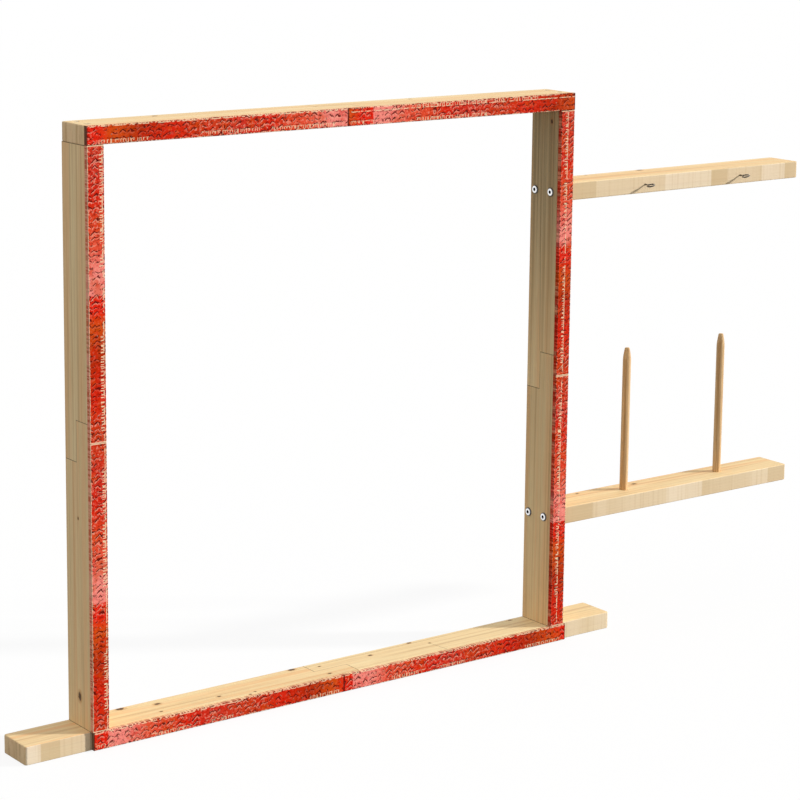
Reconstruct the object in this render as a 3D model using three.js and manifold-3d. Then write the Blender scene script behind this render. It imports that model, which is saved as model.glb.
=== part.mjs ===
// Tufting frame: a free-standing pine frame with gripper strips round its front, which hold the
// stretched backing cloth, and two arms at the right that carry the yarn cones and the yarn guides.
//
// Millimetres, +Z up. The pieces are drawn with x running right from the left upright's outer face,
// y running back from the timber's front face and z running up from the floor. The whole group is
// then moved so that the origin is on the floor, under the middle of the object's outline.

import * as THREE from 'three';
import { mergeVertices } from 'three/addons/utils/BufferGeometryUtils.js';
import Module from 'manifold-3d';

const wasm = await Module();
wasm.setup();

// Timber and outer frame
const FRAME_WIDTH = 900;
const FRAME_HEIGHT = 920;
const BOARD_THICKNESS = 28.5;
const BOARD_DEPTH = 66;
const EDGE_RADIUS = 1.5;
const END_CORNER_RADIUS = 4;
const BASE_OVERHANG = 108;

// Half-laps: front and back tongues, each half the depth of the timber
const LAP_LENGTH = 62;
const LAP_PLANE = BOARD_DEPTH / 2;
const RAIL_LAP_CENTRE = 452;
const UPRIGHT_LAP_CENTRE = 459;
const SHOULDER_GAP = 0.4;

// Arms
const ARM_LENGTH = 522;
const GUIDE_ARM_HEIGHT = 758;
const CONE_ARM_HEIGHT = 213.5;
const YARN_STATIONS = { inner: 164, outer: 383 };

// Cone pegs
const PEG_RADIUS = 7;
const PEG_TIP_RADIUS = 4.25;
const PEG_TIP_ROUND = 1.4;
const PEG_FOOT_CHAMFER = 1;
const PEG_STANDS = 247.5;
const PEG_TAPER = 24;
const SOCKET_DEPTH = 20;

// Screw eyes
const EYE_WIRE_RADIUS = 1.2;
const EYE_RING_RADIUS = 5.8;
const EYE_REACH = 21;
const EYE_TILT = THREE.MathUtils.degToRad(15);
const EYE_COLLAR = 0.8;
const EYE_THREAD_RADIUS = 1.4;
const EYE_THREAD_LENGTH = 17;
const EYE_POINT_LENGTH = 4;

// Gripper strips
const STRIP_WIDTH = 27.5;
const STRIP_THICKNESS = 7;
const STRIP_ARRIS = 0.6;
const STRIP_GAP = 0.5;
const PIN_REACH = 5;
const PIN_ROOT = 1.5;
const PIN_RADIUS = 0.85;
const PIN_LEAN = THREE.MathUtils.degToRad(32);
const PIN_PITCH = 16;
const PIN_ROWS = [0.3, 0.72];
const PIN_END_MARGIN = 8;
const RAIL_STRIP_JOINT = 450;
const LEFT_STRIP_JOINT = 462;
const RIGHT_STRIP_JOINT = 455.5;
const BASE_STRIP_ENDS = [1.5, 904.5];
const UPRIGHT_STRIP_ENDS = [BOARD_THICKNESS + STRIP_GAP, FRAME_HEIGHT - STRIP_WIDTH - STRIP_GAP];

// Arm bolts and barrel nuts
const BOLT_RADIUS = 3;
const BOLT_LENGTH = 80;
const BOLT_HEAD_RADIUS = 7.25;
const BOLT_HEAD_THICKNESS = 2.4;
const BOLT_HEAD_DOME = { width: 1.6, height: 1.3 };
const BOLT_POINT = 0.8;
const BOLT_SOCKET_RADIUS = 2.9;
const BOLT_SOCKET_DEPTH = 2;
const BOLT_ROWS = { front: 15, back: 54 };
const NUT_RADIUS = 5;
const NUT_LENGTH = 16;
const NUT_CHAMFER = 0.5;
const NUT_SLOT = { width: 1.2, depth: 1.5 };
const NUT_SETBACK = 42;

// Furniture screws with a hex socket in a countersunk head
const SCREW_HEAD_RADIUS = 5;
const SCREW_HEAD_RIM = 0.5;
const SCREW_HEAD_DEPTH = 3;
const SCREW_SHANK_RADIUS = 3.5;
const SCREW_TIP_LENGTH = 4;
const SCREW_SOCKET_RADIUS = 2.3;
const SCREW_SOCKET_DEPTH = 2.6;
const SCREW_SINK = 0.4;
const CORNER_SCREW_LENGTH = 68;
const LAP_SCREW_LENGTH = 50;
const CORNER_SCREW_ROWS = { front: 17, back: 49 };
const LAP_SCREW_OFFSET = 16;

// Running and drilling clearance round every fastener and peg
const CLEARANCE = 0.3;
const OVERCUT = 2;
const BEYOND = 2000;

// Facets round a circle, and steps along a curve
const PEG_SIDES = 24;
const PEG_TAPER_STEPS = 5;
const BOLT_SIDES = 16;
const SCREW_SIDES = 12;
const ROUNDING_STEPS = 2;
const CORNER_STEPS = 4;
const HEX_SIDES = 6;
const PIN_SIDES = 4;
const WIRE_SIDES = 8;
const RING_STEPS = 24;
const RING_STEPS_TO_FRONT = 13;

// Heights and places that follow from the dimensions above
const RAIL_TOP = BOARD_THICKNESS;
const TOP_RAIL_UNDERSIDE = FRAME_HEIGHT - BOARD_THICKNESS;
const LEFT_AXIS = BOARD_THICKNESS / 2;
const RIGHT_AXIS = FRAME_WIDTH - BOARD_THICKNESS / 2;
const BASE_AXIS = BOARD_THICKNESS / 2;
const TOP_AXIS = FRAME_HEIGHT - BOARD_THICKNESS / 2;
const ARM_END = FRAME_WIDTH + ARM_LENGTH;
const OUTLINE_CENTRE_X = (ARM_END - BASE_OVERHANG) / 2;
const OUTLINE_CENTRE_Y = (BOARD_DEPTH - EYE_REACH) / 2;

const UP = new THREE.Vector3(0, 0, 1);
const DOWN = new THREE.Vector3(0, 0, -1);
const LEFT = new THREE.Vector3(-1, 0, 0);
const FRONT = new THREE.Vector3(0, -1, 0);
const BACK = new THREE.Vector3(0, 1, 0);

// Materials, one maker for each kind of piece
const finishes = {
  pine: { color: 0xe6c796, roughness: 0.62, metalness: 0 },
  dowel: { color: 0xcda878, roughness: 0.58, metalness: 0 },
  gripper: { color: 0xc63a22, roughness: 0.55, metalness: 0 },
  zinc: { color: 0xd6d8da, roughness: 0.28, metalness: 1 },
  bronze: { color: 0x4a3a26, roughness: 0.4, metalness: 0.9 },
};

function piece(name, geometry, finish) {
  const mesh = new THREE.Mesh(geometry, new THREE.MeshStandardMaterial(finishes[finish]));
  mesh.name = name;
  return mesh;
}

// Solids: closed three.js geometry in, joined or cut, and back to geometry

function solid(geometry) {
  const bare = geometry.clone();
  bare.deleteAttribute('normal');
  bare.deleteAttribute('uv');
  const merged = mergeVertices(bare, 1e-4);
  const corners = merged.index.array;
  const triangles = [];
  for (let i = 0; i < corners.length; i += 3) {
    const [a, b, c] = [corners[i], corners[i + 1], corners[i + 2]];
    if (a !== b && b !== c && c !== a) triangles.push(a, b, c);
  }
  return new wasm.Manifold(new wasm.Mesh({
    numProp: 3,
    vertProperties: new Float32Array(merged.attributes.position.array),
    triVerts: new Uint32Array(triangles),
  }));
}

function geometryOf(manifold) {
  const mesh = manifold.getMesh();
  const geometry = new THREE.BufferGeometry();
  geometry.setAttribute('position', new THREE.BufferAttribute(mesh.vertProperties, 3));
  geometry.setIndex(new THREE.BufferAttribute(mesh.triVerts, 1));
  geometry.computeVertexNormals();
  return geometry;
}

function cut(body, cutters) {
  return cutters.reduce((rest, cutter) => rest.subtract(cutter), body);
}

function block(low, high) {
  const size = high.map((value, axis) => value - low[axis]);
  const geometry = new THREE.BoxGeometry(...size);
  geometry.translate(...high.map((value, axis) => (value + low[axis]) / 2));
  return solid(geometry);
}

// A profile of [radius, height] pairs, top to bottom, turned about the Z axis
function turned(profile, sides) {
  const points = profile.map(([radius, height]) => new THREE.Vector2(radius, height)).reverse();
  return new THREE.LatheGeometry(points, sides).rotateX(Math.PI / 2);
}

// Turns the local +Z axis to point along outward, and moves the local origin to at
function aim(object, at, outward) {
  object.position.set(...at);
  object.quaternion.setFromUnitVectors(UP, outward);
  return object;
}

function solidAt(geometry, at, outward) {
  const holder = aim(new THREE.Object3D(), at, outward);
  holder.updateMatrix();
  return solid(geometry.clone().applyMatrix4(holder.matrix));
}

// Fasteners: +Z points out of the wood, and the surface they are driven into is at z = 0

function hexSocket(radius, depth, top) {
  return solid(new THREE.CylinderGeometry(radius, radius, depth + OVERCUT, HEX_SIDES)
    .rotateX(Math.PI / 2)
    .translate(0, 0, top - depth + (depth + OVERCUT) / 2));
}

// The screw itself, or with a clearance the hole that is drilled for it
function screwProfile(length, clearance = 0) {
  const top = clearance ? OVERCUT : -SCREW_SINK;
  return [
    [0, top],
    [SCREW_HEAD_RADIUS + clearance, top],
    [SCREW_HEAD_RADIUS + clearance, -SCREW_SINK - SCREW_HEAD_RIM],
    [SCREW_SHANK_RADIUS + clearance, -SCREW_SINK - SCREW_HEAD_DEPTH],
    [SCREW_SHANK_RADIUS + clearance, -length + SCREW_TIP_LENGTH],
    [0, -length - clearance],
  ];
}

function screwGeometry(length) {
  const socket = hexSocket(SCREW_SOCKET_RADIUS, SCREW_SOCKET_DEPTH, -SCREW_SINK);
  return geometryOf(solid(turned(screwProfile(length), SCREW_SIDES)).subtract(socket));
}

function boltGeometry() {
  const head = BOLT_HEAD_THICKNESS;
  const body = turned([
    [0, head],
    [BOLT_HEAD_RADIUS - BOLT_HEAD_DOME.width, head],
    [BOLT_HEAD_RADIUS, head - BOLT_HEAD_DOME.height],
    [BOLT_HEAD_RADIUS, 0],
    [BOLT_RADIUS, 0],
    [BOLT_RADIUS, -BOLT_LENGTH + BOLT_POINT],
    [BOLT_RADIUS - BOLT_POINT, -BOLT_LENGTH],
    [0, -BOLT_LENGTH],
  ], BOLT_SIDES);
  return geometryOf(solid(body).subtract(hexSocket(BOLT_SOCKET_RADIUS, BOLT_SOCKET_DEPTH, head)));
}

// A barrel nut stands along Z, with its threaded hole along X and a driver slot in its lower end
function nutGeometry() {
  const half = NUT_LENGTH / 2;
  const barrel = turned([
    [0, half],
    [NUT_RADIUS - NUT_CHAMFER, half],
    [NUT_RADIUS, half - NUT_CHAMFER],
    [NUT_RADIUS, -half],
    [0, -half],
  ], BOLT_SIDES);
  const thread = new THREE.CylinderGeometry(BOLT_RADIUS + CLEARANCE, BOLT_RADIUS + CLEARANCE,
    2 * NUT_RADIUS + OVERCUT, SCREW_SIDES).rotateZ(Math.PI / 2);
  const slot = block(
    [-NUT_SLOT.width / 2, -NUT_RADIUS - OVERCUT, -half - OVERCUT],
    [NUT_SLOT.width / 2, NUT_RADIUS + OVERCUT, -half + NUT_SLOT.depth],
  );
  return geometryOf(cut(solid(barrel), [solid(thread), slot]));
}

// Where each fastener goes: the point it is driven in at, and the way its head faces

const cornerScrews = [];
for (const [side, x] of [['left', LEFT_AXIS], ['right', RIGHT_AXIS]]) {
  for (const [row, y] of Object.entries(CORNER_SCREW_ROWS)) {
    cornerScrews.push({ name: `corner_screw_top_${side}_${row}`, at: [x, y, FRAME_HEIGHT], outward: UP });
    cornerScrews.push({ name: `corner_screw_base_${side}_${row}`, at: [x, y, 0], outward: DOWN });
  }
}

const lapScrews = [];
for (const [rail, z] of [['base', BASE_AXIS], ['top', TOP_AXIS]]) {
  for (const [end, way] of [['left', -1], ['right', 1]]) {
    const x = RAIL_LAP_CENTRE + way * LAP_SCREW_OFFSET;
    lapScrews.push({ name: `lap_screw_${rail}_${end}`, at: [x, BOARD_DEPTH, z], outward: BACK });
  }
}
for (const [side, x] of [['left', LEFT_AXIS], ['right', RIGHT_AXIS]]) {
  for (const [end, way] of [['lower', -1], ['upper', 1]]) {
    const z = UPRIGHT_LAP_CENTRE + way * LAP_SCREW_OFFSET;
    lapScrews.push({ name: `lap_screw_${side}_${end}`, at: [x, BOARD_DEPTH, z], outward: BACK });
  }
}

const armBolts = [];
for (const [arm, z] of [['upper', GUIDE_ARM_HEIGHT], ['lower', CONE_ARM_HEIGHT]]) {
  for (const [row, y] of Object.entries(BOLT_ROWS)) {
    const at = [FRAME_WIDTH - BOARD_THICKNESS, y, z];
    armBolts.push({ name: `${arm}_${row}`, at, outward: LEFT });
  }
}

const screwHoles = [
  ...cornerScrews.map((screw) => ({ ...screw, length: CORNER_SCREW_LENGTH })),
  ...lapScrews.map((screw) => ({ ...screw, length: LAP_SCREW_LENGTH })),
].map(({ at, outward, length }) => (
  solidAt(turned(screwProfile(length, CLEARANCE), SCREW_SIDES), at, outward)
));

const boltHoles = armBolts.map(({ at, outward }) => {
  const radius = BOLT_RADIUS + CLEARANCE;
  const end = -BOLT_LENGTH - OVERCUT;
  const profile = [[0, OVERCUT], [radius, OVERCUT], [radius, end], [0, end]];
  return solidAt(turned(profile, SCREW_SIDES), at, outward);
});

const nutHoles = armBolts.map(({ at }) => {
  const radius = NUT_RADIUS + CLEARANCE;
  const bottom = BOARD_THICKNESS / 2 + OVERCUT;
  const top = NUT_LENGTH / 2 + CLEARANCE;
  const profile = [[0, top], [radius, top], [radius, -bottom], [0, -bottom]];
  return solidAt(turned(profile, BOLT_SIDES), [FRAME_WIDTH + NUT_SETBACK, at[1], at[2]], UP);
});

// Timber: planed boards, with their long edges rounded over

// A rectangle from the origin, with rounded corners of so many steps each
function roundedRectangle(width, depth, round, steps) {
  const corners = [
    [width - round, round, -Math.PI / 2],
    [width - round, depth - round, 0],
    [round, depth - round, Math.PI / 2],
    [round, round, Math.PI],
  ];
  const points = corners.flatMap(([x, y, start]) => (
    Array.from({ length: steps + 1 }, (_, step) => {
      const angle = start + (step / steps) * (Math.PI / 2);
      return new THREE.Vector2(x + round * Math.cos(angle), y + round * Math.sin(angle));
    })
  ));
  return new THREE.Shape(points);
}

// A board that stands between the rails, sawn square at both ends
function standingBoard(x, from, to) {
  const section = roundedRectangle(BOARD_THICKNESS, BOARD_DEPTH, EDGE_RADIUS, ROUNDING_STEPS);
  return solid(new THREE.ExtrudeGeometry(section, { depth: to - from, bevelEnabled: false })
    .translate(x, 0, from));
}

// A board that lies along X, with its ends rounded too
function lyingBoard(z, from, to) {
  const plan = roundedRectangle(to - from, BOARD_DEPTH, END_CORNER_RADIUS, CORNER_STEPS);
  return solid(new THREE.ExtrudeGeometry(plan, {
    depth: BOARD_THICKNESS - 2 * EDGE_RADIUS,
    bevelThickness: EDGE_RADIUS,
    bevelSize: EDGE_RADIUS,
    bevelOffset: -EDGE_RADIUS,
    bevelSegments: ROUNDING_STEPS,
  }).translate(from, 0, z + EDGE_RADIUS));
}

const ALONG_X = 0;
const ALONG_Z = 2;

// What is sawn off a board between two places along its axis, over some or all of its depth
function waste(axis, from, to, front = -OVERCUT, back = BOARD_DEPTH + OVERCUT) {
  const low = [-BEYOND, front, -BEYOND];
  const high = [BEYOND, back, BEYOND];
  low[axis] = from;
  high[axis] = to;
  return block(low, high);
}

// The base rail is joined from three stretches that meet under the uprights' outer faces, so that
// the feet outside the frame have faces of their own
function baseBoard() {
  const stretches = [[-BASE_OVERHANG, 0], [0, FRAME_WIDTH], [FRAME_WIDTH, FRAME_WIDTH + BASE_OVERHANG]];
  return stretches
    .map(([from, to]) => cut(lyingBoard(0, -BASE_OVERHANG, FRAME_WIDTH + BASE_OVERHANG), [
      waste(ALONG_X, -BEYOND, from),
      waste(ALONG_X, to, BEYOND),
    ]))
    .reduce((rest, stretch) => rest.add(stretch));
}

// Splits one board into two that are half-lapped: the first keeps its front half past the lap's
// start as a tongue, and the second keeps its back half
function halfLapped(whole, centre, axis) {
  const start = centre - LAP_LENGTH / 2;
  const end = centre + LAP_LENGTH / 2;
  const first = cut(whole, [
    waste(axis, end, BEYOND),
    waste(axis, start, BEYOND, LAP_PLANE),
  ]);
  const second = cut(whole, [
    waste(axis, -BEYOND, start + SHOULDER_GAP),
    waste(axis, -BEYOND, end + SHOULDER_GAP, -OVERCUT, LAP_PLANE),
  ]);
  return [first, second];
}

const BOARD_CUTTERS = [...screwHoles, ...boltHoles];

function lappedPair(names, whole, centre, axis) {
  const halves = halfLapped(whole, centre, axis);
  return names.map((name, half) => piece(name, geometryOf(cut(halves[half], BOARD_CUTTERS)), 'pine'));
}

const timberFrame = new THREE.Group();
timberFrame.add(
  ...lappedPair(['base_rail_left', 'base_rail_right'],
    baseBoard(), RAIL_LAP_CENTRE, ALONG_X),
  ...lappedPair(['top_rail_left', 'top_rail_right'],
    lyingBoard(TOP_RAIL_UNDERSIDE, 0, FRAME_WIDTH), RAIL_LAP_CENTRE, ALONG_X),
  ...lappedPair(['left_upright_lower', 'left_upright_upper'],
    standingBoard(0, RAIL_TOP, TOP_RAIL_UNDERSIDE), UPRIGHT_LAP_CENTRE, ALONG_Z),
  ...lappedPair(['right_upright_lower', 'right_upright_upper'],
    standingBoard(FRAME_WIDTH - BOARD_THICKNESS, RAIL_TOP, TOP_RAIL_UNDERSIDE),
    UPRIGHT_LAP_CENTRE, ALONG_Z),
);

// Arms: the lower one holds the cone pegs in blind sockets, the upper one the screw eyes. Each is
// sawn square where it meets the upright.

function armBoard(height) {
  const offcut = 2 * END_CORNER_RADIUS;
  const whole = lyingBoard(height - BOARD_THICKNESS / 2, FRAME_WIDTH - offcut, ARM_END);
  return whole.subtract(waste(ALONG_X, -BEYOND, FRAME_WIDTH));
}

const stations = Object.entries(YARN_STATIONS);

const pegSockets = stations.map(([, reach]) => {
  const radius = PEG_RADIUS + CLEARANCE;
  const profile = [[0, OVERCUT], [radius, OVERCUT], [radius, -SOCKET_DEPTH], [0, -SOCKET_DEPTH]];
  const at = [FRAME_WIDTH + reach, BOARD_DEPTH / 2, CONE_ARM_HEIGHT + BOARD_THICKNESS / 2];
  return solidAt(turned(profile, PEG_SIDES), at, UP);
});

const eyeHoles = stations.map(([, reach]) => {
  const radius = EYE_THREAD_RADIUS + CLEARANCE;
  const depth = -EYE_THREAD_LENGTH - CLEARANCE;
  const profile = [[0, OVERCUT], [radius, OVERCUT], [radius, depth], [0, depth]];
  return solidAt(turned(profile, SCREW_SIDES), [FRAME_WIDTH + reach, 0, GUIDE_ARM_HEIGHT], FRONT);
});

// A dowel with a chamfered foot, a long taper to its tip and the tip's edge rounded over
function pegGeometry() {
  const top = SOCKET_DEPTH + PEG_STANDS;
  const shoulder = top - PEG_TIP_ROUND;
  const profile = [[0, top], [PEG_TIP_RADIUS - PEG_TIP_ROUND, top], [PEG_TIP_RADIUS, shoulder]];
  for (let step = 1; step <= PEG_TAPER_STEPS; step += 1) {
    const share = step / PEG_TAPER_STEPS;
    const radius = PEG_TIP_RADIUS + (PEG_RADIUS - PEG_TIP_RADIUS) * Math.sin(share * Math.PI / 2);
    profile.push([radius, shoulder - PEG_TAPER * share]);
  }
  profile.push([PEG_RADIUS, PEG_FOOT_CHAMFER], [PEG_RADIUS - PEG_FOOT_CHAMFER, 0], [0, 0]);
  return geometryOf(solid(turned(profile, PEG_SIDES)));
}

// The ring of a screw eye: an open loop of wire in the local XZ plane. It starts over the shank,
// is half way round at its front and stops just short of the shank again.
class EyeLoop extends THREE.Curve {
  getPoint(share, target = new THREE.Vector3()) {
    const sweep = Math.PI * RING_STEPS / RING_STEPS_TO_FRONT;
    const angle = -Math.PI / 2 + share * sweep;
    const centre = EYE_REACH - EYE_RING_RADIUS - EYE_WIRE_RADIUS;
    return target.set(EYE_RING_RADIUS * Math.cos(angle), 0, centre + EYE_RING_RADIUS * Math.sin(angle));
  }
}

function eyeGeometry() {
  const section = new THREE.Shape();
  section.absarc(0, 0, EYE_WIRE_RADIUS, Math.PI / 2, 5 * Math.PI / 2);
  const ring = new THREE.ExtrudeGeometry(section, {
    extrudePath: new EyeLoop(),
    steps: RING_STEPS,
    curveSegments: WIRE_SIDES / 2,
  });
  const neck = EYE_REACH - 2 * EYE_RING_RADIUS - EYE_WIRE_RADIUS;
  const shank = turned([
    [0, neck],
    [EYE_WIRE_RADIUS, neck],
    [EYE_WIRE_RADIUS, EYE_COLLAR],
    [EYE_THREAD_RADIUS, 0],
    [EYE_THREAD_RADIUS, -EYE_THREAD_LENGTH + EYE_POINT_LENGTH],
    [0, -EYE_THREAD_LENGTH],
  ], WIRE_SIDES);
  return geometryOf(solid(shank).add(solid(ring)));
}

const guideArm = cut(armBoard(GUIDE_ARM_HEIGHT), [...boltHoles, ...nutHoles, ...eyeHoles]);
const coneArm = cut(armBoard(CONE_ARM_HEIGHT), [...boltHoles, ...nutHoles, ...pegSockets]);
const pegShape = pegGeometry();
const eyeShape = eyeGeometry();

const yarnArms = new THREE.Group();
yarnArms.add(piece('yarn_guide_arm', geometryOf(guideArm), 'pine'));
yarnArms.add(piece('cone_arm', geometryOf(coneArm), 'pine'));
for (const [station, reach] of stations) {
  const x = FRAME_WIDTH + reach;
  const socketFloor = CONE_ARM_HEIGHT + BOARD_THICKNESS / 2 - SOCKET_DEPTH;
  const peg = piece(`cone_peg_${station}`, pegShape, 'dowel');
  peg.position.set(x, BOARD_DEPTH / 2, socketFloor);
  const eye = aim(piece(`yarn_eye_${station}`, eyeShape, 'bronze'), [x, 0, GUIDE_ARM_HEIGHT], FRONT);
  eye.rotateZ(EYE_TILT);
  yarnArms.add(peg, eye);
}

// Gripper strips: a plywood lath with two staggered rows of pins that all lean to its outer edge.
// A strip is drawn along +X, with its back on y = 0 and its outer edge at z = STRIP_WIDTH.

function pin(x, z) {
  const length = PIN_REACH / Math.cos(PIN_LEAN) + PIN_ROOT;
  const spike = new THREE.ConeGeometry(PIN_RADIUS, length, PIN_SIDES)
    .translate(0, length / 2 - PIN_ROOT, 0)
    .rotateX(Math.PI - PIN_LEAN)
    .translate(x, -STRIP_THICKNESS, z);
  return solid(spike);
}

function stripGeometry(length) {
  const section = new THREE.Shape();
  section.moveTo(0, 0);
  section.lineTo(STRIP_WIDTH, 0);
  section.lineTo(STRIP_WIDTH, STRIP_THICKNESS - STRIP_ARRIS);
  section.lineTo(STRIP_WIDTH - STRIP_ARRIS, STRIP_THICKNESS);
  section.lineTo(STRIP_ARRIS, STRIP_THICKNESS);
  section.lineTo(0, STRIP_THICKNESS - STRIP_ARRIS);
  section.closePath();
  const alongX = new THREE.Matrix4().set(
    0, 0, 1, 0,
    0, -1, 0, 0,
    1, 0, 0, 0,
    0, 0, 0, 1,
  );
  const lath = new THREE.ExtrudeGeometry(section, { depth: length, bevelEnabled: false });
  let strip = solid(lath.applyMatrix4(alongX));
  PIN_ROWS.forEach((share, row) => {
    const start = PIN_END_MARGIN + row * PIN_PITCH / 2;
    for (let x = start; x <= length - PIN_END_MARGIN; x += PIN_PITCH) {
      strip = strip.add(pin(x, share * STRIP_WIDTH));
    }
  });
  return geometryOf(strip);
}

// Each side has two strips that meet at its joint. turn swings a strip about Y to lie along its
// side, and corner is where the strip's own origin comes: at its start or, once swung, at its end.
const sides = [
  {
    name: 'top',
    halves: ['left', 'right'],
    ends: [0, FRAME_WIDTH],
    joint: RAIL_STRIP_JOINT,
    turn: 0,
    corner: (from) => [from, FRAME_HEIGHT - STRIP_WIDTH],
  },
  {
    name: 'base',
    halves: ['left', 'right'],
    ends: BASE_STRIP_ENDS,
    joint: RAIL_STRIP_JOINT,
    turn: Math.PI,
    corner: (from, to) => [to, BOARD_THICKNESS],
  },
  {
    name: 'left',
    halves: ['lower', 'upper'],
    ends: UPRIGHT_STRIP_ENDS,
    joint: LEFT_STRIP_JOINT,
    turn: -Math.PI / 2,
    corner: (from) => [STRIP_WIDTH, from],
  },
  {
    name: 'right',
    halves: ['lower', 'upper'],
    ends: UPRIGHT_STRIP_ENDS,
    joint: RIGHT_STRIP_JOINT,
    turn: Math.PI / 2,
    corner: (from, to) => [FRAME_WIDTH - STRIP_WIDTH, to],
  },
];

const gripperStrips = new THREE.Group();
for (const { name, halves, ends, joint, turn, corner } of sides) {
  const spans = [[ends[0], joint], [joint + STRIP_GAP, ends[1]]];
  spans.forEach(([from, to], half) => {
    const strip = piece(`gripper_strip_${name}_${halves[half]}`, stripGeometry(to - from), 'gripper');
    const [x, z] = corner(from, to);
    strip.position.set(x, 0, z);
    strip.rotation.y = turn;
    gripperStrips.add(strip);
  });
}

// Fasteners
const fasteners = new THREE.Group();
const cornerScrewShape = screwGeometry(CORNER_SCREW_LENGTH);
const lapScrewShape = screwGeometry(LAP_SCREW_LENGTH);
const boltShape = boltGeometry();
const nutShape = nutGeometry();
for (const { name, at, outward } of cornerScrews) {
  fasteners.add(aim(piece(name, cornerScrewShape, 'zinc'), at, outward));
}
for (const { name, at, outward } of lapScrews) {
  fasteners.add(aim(piece(name, lapScrewShape, 'zinc'), at, outward));
}
for (const { name, at, outward } of armBolts) {
  fasteners.add(aim(piece(`arm_bolt_${name}`, boltShape, 'zinc'), at, outward));
  const nut = piece(`barrel_nut_${name}`, nutShape, 'zinc');
  nut.position.set(FRAME_WIDTH + NUT_SETBACK, at[1], at[2]);
  fasteners.add(nut);
}

const tuftingFrame = new THREE.Group();
tuftingFrame.add(timberFrame, yarnArms, gripperStrips, fasteners);
tuftingFrame.position.set(-OUTLINE_CENTRE_X, -OUTLINE_CENTRE_Y, 0);

export default tuftingFrame;
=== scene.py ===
# Tufting frame: the finish of every piece, and the small turned and bent pieces in full detail.
# Metres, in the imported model's row frame. The timber, gripper strips and barrel nuts keep their
# CAD solids. The pegs, screw eyes, bolts, screws and strip nails are made here.
import math

import bmesh
import bpy
from mathutils import Matrix, Vector


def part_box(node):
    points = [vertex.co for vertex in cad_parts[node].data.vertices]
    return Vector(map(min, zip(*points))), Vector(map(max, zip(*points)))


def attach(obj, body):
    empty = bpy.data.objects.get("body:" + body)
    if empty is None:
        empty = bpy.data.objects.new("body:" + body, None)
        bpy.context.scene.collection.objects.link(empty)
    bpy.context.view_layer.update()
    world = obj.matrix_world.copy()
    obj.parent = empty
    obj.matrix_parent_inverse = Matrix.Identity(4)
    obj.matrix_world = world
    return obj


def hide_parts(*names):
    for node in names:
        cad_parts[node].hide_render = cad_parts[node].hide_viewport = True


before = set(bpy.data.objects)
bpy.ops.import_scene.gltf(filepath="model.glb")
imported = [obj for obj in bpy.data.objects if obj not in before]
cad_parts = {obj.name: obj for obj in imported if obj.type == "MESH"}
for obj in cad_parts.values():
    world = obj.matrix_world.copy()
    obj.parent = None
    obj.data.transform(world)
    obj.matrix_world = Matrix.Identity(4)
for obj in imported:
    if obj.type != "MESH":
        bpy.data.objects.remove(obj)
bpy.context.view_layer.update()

MM = 0.001
UP = Vector((0, 0, 1))
DOWN = Vector((0, 0, -1))
LEFT = Vector((-1, 0, 0))
FRONT = Vector((0, -1, 0))
BACK = Vector((0, 1, 0))

# The real frame's sizes, in millimetres, without the gripper strips
FRAME_WIDTH = 900
FRAME_HEIGHT = 920
BOARD_DEPTH = 66
BOARD_THICKNESS = 28.5
HALF_DEPTH = BOARD_DEPTH / 2
INNER_FACE = FRAME_WIDTH - BOARD_THICKNESS
TOP_RAIL_UNDERSIDE = FRAME_HEIGHT - BOARD_THICKNESS
GUIDE_ARM_HEIGHT = 758
CONE_ARM_HEIGHT = 213.5

# The left upright's outer front corner on the floor. Places are measured from it in millimetres,
# with x to the right, y to the back and z up.
upright_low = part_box("left_upright_lower")[0]
CORNER = Vector((upright_low.x, upright_low.y, 0))


def place(x, y, z):
    return CORNER + Vector((x, y, z)) * MM


def linear(red, green, blue):
    """A colour written as 0 to 255 per channel, as the shader wants it."""
    def channel(value):
        share = value / 255
        return share / 12.92 if share <= 0.04045 else ((share + 0.055) / 1.055) ** 2.4
    return (channel(red), channel(green), channel(blue), 1)


WHITE = (1, 1, 1, 1)


def in_scene(name, data):
    thing = bpy.data.objects.new(name, data)
    bpy.context.scene.collection.objects.link(thing)
    return thing


def paint(node, material):
    """The finish of a piece that keeps its CAD solid."""
    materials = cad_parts[node].data.materials
    materials.clear()
    materials.append(material)


# Shader nodes, written as arithmetic

# The Mix node's sockets
MIX_COLOUR_INPUTS = (0, 6, 7)
MIX_COLOUR_OUTPUT = 2
MIX_NUMBER_INPUTS = (0, 2, 3)


class Field:
    """A number, vector or colour that varies over the surface."""

    def __init__(self, shader, socket):
        self.shader = shader
        self.socket = socket

    def __add__(self, other):
        return self.shader.math("ADD", self, other)

    def __sub__(self, other):
        return self.shader.math("SUBTRACT", self, other)

    def __rsub__(self, other):
        return self.shader.math("SUBTRACT", other, self)

    def __mul__(self, other):
        return self.shader.math("MULTIPLY", self, other)

    def __truediv__(self, other):
        return self.shader.math("DIVIDE", self, other)

    def __abs__(self):
        return self.shader.math("ABSOLUTE", self)

    __radd__ = __add__


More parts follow.
